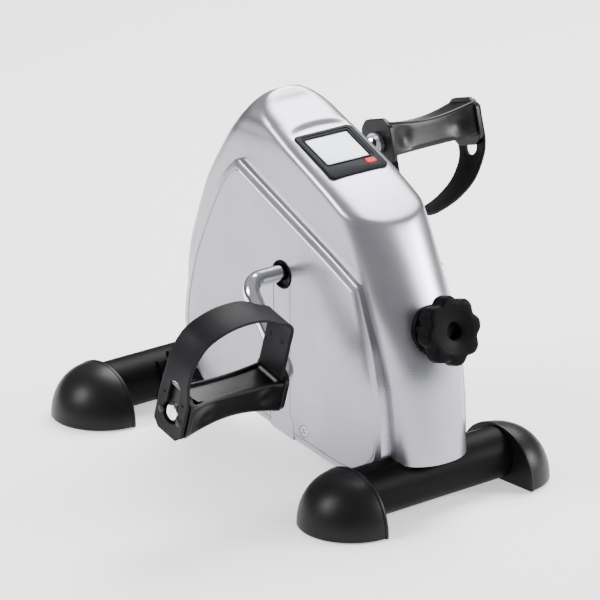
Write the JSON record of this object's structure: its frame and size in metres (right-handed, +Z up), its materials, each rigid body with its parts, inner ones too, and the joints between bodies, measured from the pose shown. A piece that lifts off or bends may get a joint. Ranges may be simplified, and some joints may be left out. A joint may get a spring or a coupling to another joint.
{
  "type": "pedal exerciser",
  "caption": "Low floor-standing pedal exerciser: two strapped pedals on a braked crank under a silver cover, with a lobed tension knob, a small display and two tube feet.",
  "frame": {"origin": "on the floor, midway between the two stabiliser tubes", "axes": "+X along the crank axle, towards the right of the person who faces the display; -Y towards that person; +Z up"},
  "size_m": [0.402, 0.3972, 0.298],
  "materials": {
    "black_steel": "semi-gloss black powder coat",
    "foot_plastic": "moulded black polypropylene",
    "rubber": "matt",
    "zinc_steel": "bright zinc plate",
    "acetal": "natural acetal",
    "brake_webbing": "woven friction webbing",
    "silver_plastic": "satin silver moulded ABS",
    "black_plastic": "moulded black nylon",
    "console_plastic": "fine-textured black ABS",
    "clear_plastic": "clear acrylic",
    "lcd": "grey reflective display",
    "circuit_board": "green solder resist",
    "cell_steel": "nickel-plated",
    "red_plastic": "red silicone key",
    "lead_pvc": "black PVC",
    "chrome": "polished chrome plate",
    "drum_iron": "turned rim",
    "magnet": "nickel-plated",
    "nut_steel": "bright plated",
    "pedal_plastic": "moulded black polypropylene",
    "strap_plastic": "flexible dark grey PVC"
  },
  "bodies": {
    "base": {"front_tube": "black_steel", "rear_tube": "black_steel", "front_left_foot": "foot_plastic", "front_right_foot": "foot_plastic", "rear_left_foot": "foot_plastic", "rear_right_foot": "foot_plastic", "foot_pads": "rubber", "front_saddle": "black_steel", "rear_saddle": "black_steel", "tube_bolts": "zinc_steel", "frame_beam": "black_steel", "left_bearing_plate": "black_steel", "right_bearing_plate": "black_steel", "left_bearing": "acetal", "right_bearing": "acetal", "band_anchor": "zinc_steel", "brake_band": "brake_webbing", "screw_bracket": "black_steel", "main_cover": "silver_plastic", "left_side_cover": "silver_plastic", "right_side_cover": "silver_plastic", "left_slot_strip": "silver_plastic", "right_slot_strip": "silver_plastic", "left_exit_ring": "black_plastic", "right_exit_ring": "black_plastic", "cover_screws": "zinc_steel", "knob_collar": "black_plastic", "console_case": "console_plastic", "console_window": "clear_plastic", "lcd_panel": "lcd", "console_board": "circuit_board", "console_back": "console_plastic", "button_cell": "cell_steel", "reed_sensor": "black_plastic", "sensor_wire": "lead_pvc"},
    "crank": {"crank_rod": "chrome", "brake_drum": "drum_iron", "sensor_magnet": "magnet", "left_spindle_nut": "nut_steel", "right_spindle_nut": "nut_steel", "left_washer": "zinc_steel", "right_washer": "zinc_steel"},
    "left_pedal_unit": {"left_pedal": "pedal_plastic", "left_strap": "strap_plastic", "left_strap_pegs": "pedal_plastic"},
    "right_pedal_unit": {"right_pedal": "pedal_plastic", "right_strap": "strap_plastic", "right_strap_pegs": "pedal_plastic"},
    "knob": {"tension_knob": "black_plastic", "tension_screw": "zinc_steel"},
    "brake_nut": {"tension_nut": "zinc_steel"},
    "button": {"reset_button": "red_plastic"}
  },
  "joints": [
    {"name": "crank_spin", "type": "hinge", "parent": "base", "child": "crank", "pos_m": [0, -0.0375, 0.167], "axis": [1, 0, 0], "continuous": true},
    {"name": "left_pedal_spin", "type": "hinge", "parent": "crank", "child": "left_pedal_unit", "pos_m": [0, -0.09029, 0.10296], "axis": [1, 0, 0], "continuous": true},
    {"name": "right_pedal_spin", "type": "hinge", "parent": "crank", "child": "right_pedal_unit", "pos_m": [0, 0.01529, 0.23105], "axis": [1, 0, 0], "continuous": true},
    {"name": "knob_turn", "type": "hinge", "parent": "base", "child": "knob", "pos_m": [0, -0.189, 0.1495], "axis": [0, 0.9659, -0.2588], "range_deg": [0, 1980]},
    {"name": "brake_nut_slide", "type": "slide", "parent": "base", "child": "brake_nut", "axis": [0, -0.9659, 0.2588], "range_m": [0, 0.00698]},
    {"name": "reset_button_press", "type": "slide", "parent": "base", "child": "button", "axis": [0, 0.4163, -0.9092], "range_m": [0, 0.001], "stiffness_N_per_m": 700, "springref_m": -0.0003}
  ],
  "couplings": [
    {"joint": "brake_nut_slide", "follows": "knob_turn", "m_per_rad": 0.00019894}
  ]
}
